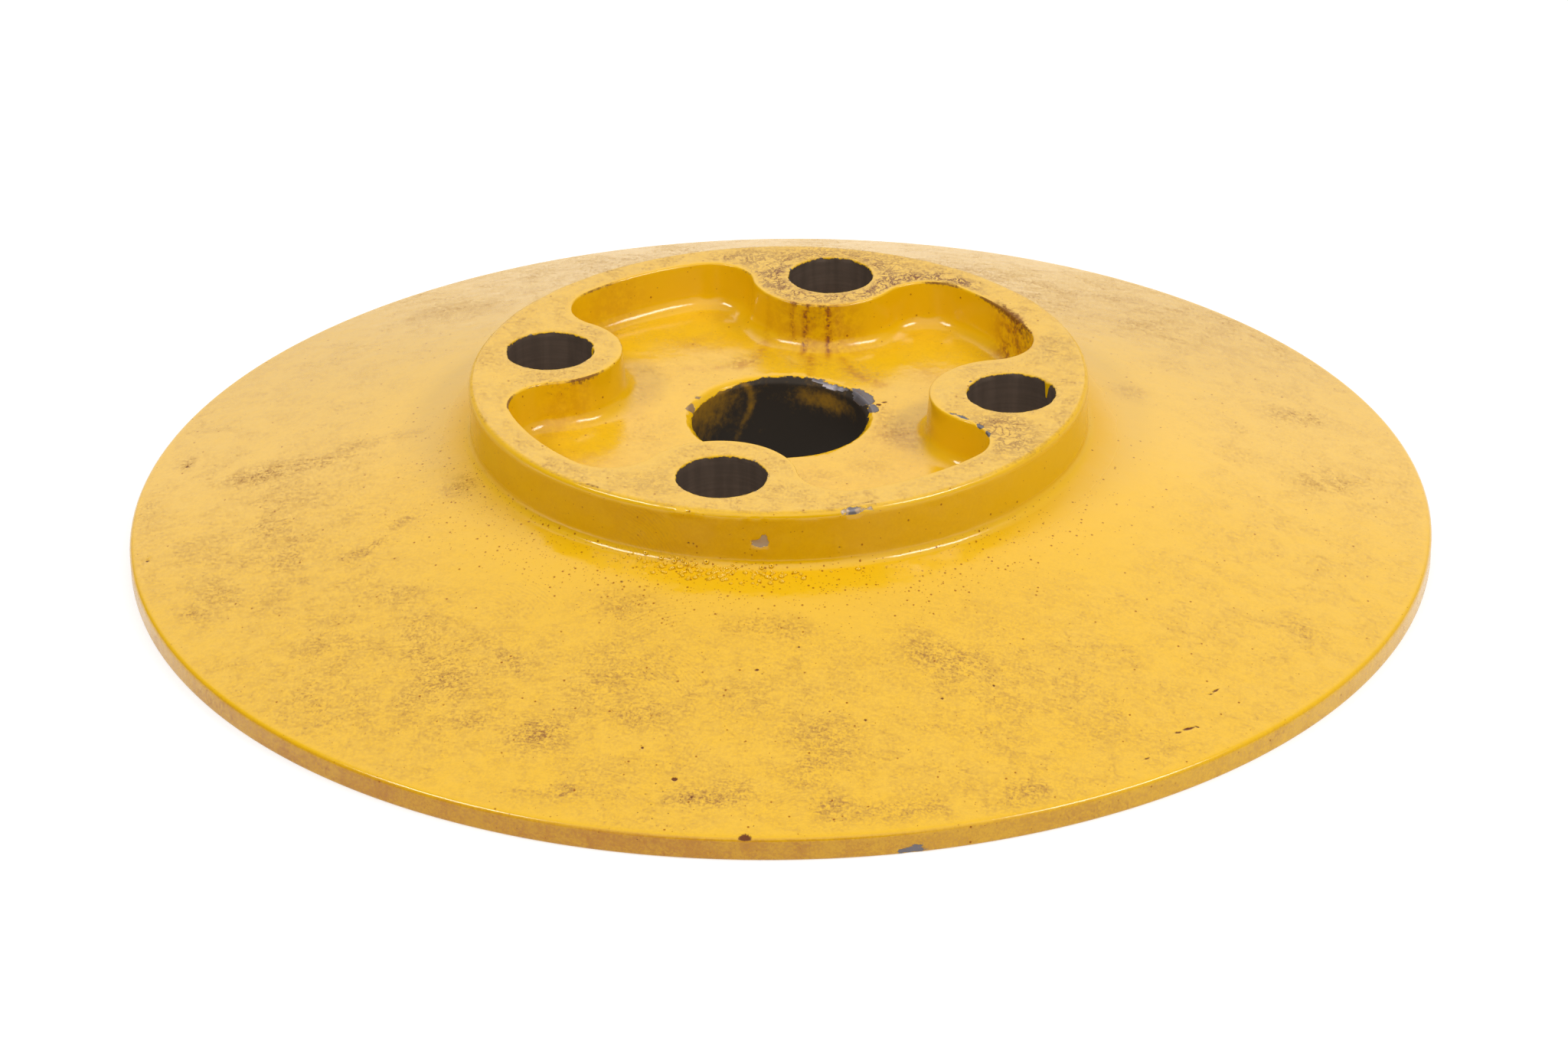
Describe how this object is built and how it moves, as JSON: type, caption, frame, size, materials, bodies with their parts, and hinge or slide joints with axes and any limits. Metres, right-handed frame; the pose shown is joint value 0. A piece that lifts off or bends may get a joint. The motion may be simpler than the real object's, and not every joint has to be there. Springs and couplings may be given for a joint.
{
  "type": "hub flange disc",
  "caption": "Painted cast disc with a conical skirt and a raised, recessed hub, bored and drilled to bolt onto a spindle flange as a cover or clamping plate.",
  "frame": {"origin": "centre of the plane that the rim's and the boss's lower faces lie in", "axes": "+Z along the disc's axis, from the skirt's rim towards the hub; +X and +Y each pass through a bolt hole"},
  "size_m": [0.18, 0.18, 0.0234],
  "materials": {
    "yellow_enamel": "gloss machinery enamel, worn to grey metal at edges and grimy with dry finger marks; bores left as bare dark iron"
  },
  "bodies": {
    "root": {"disc_casting": "yellow_enamel"}
  },
  "joints": []
}
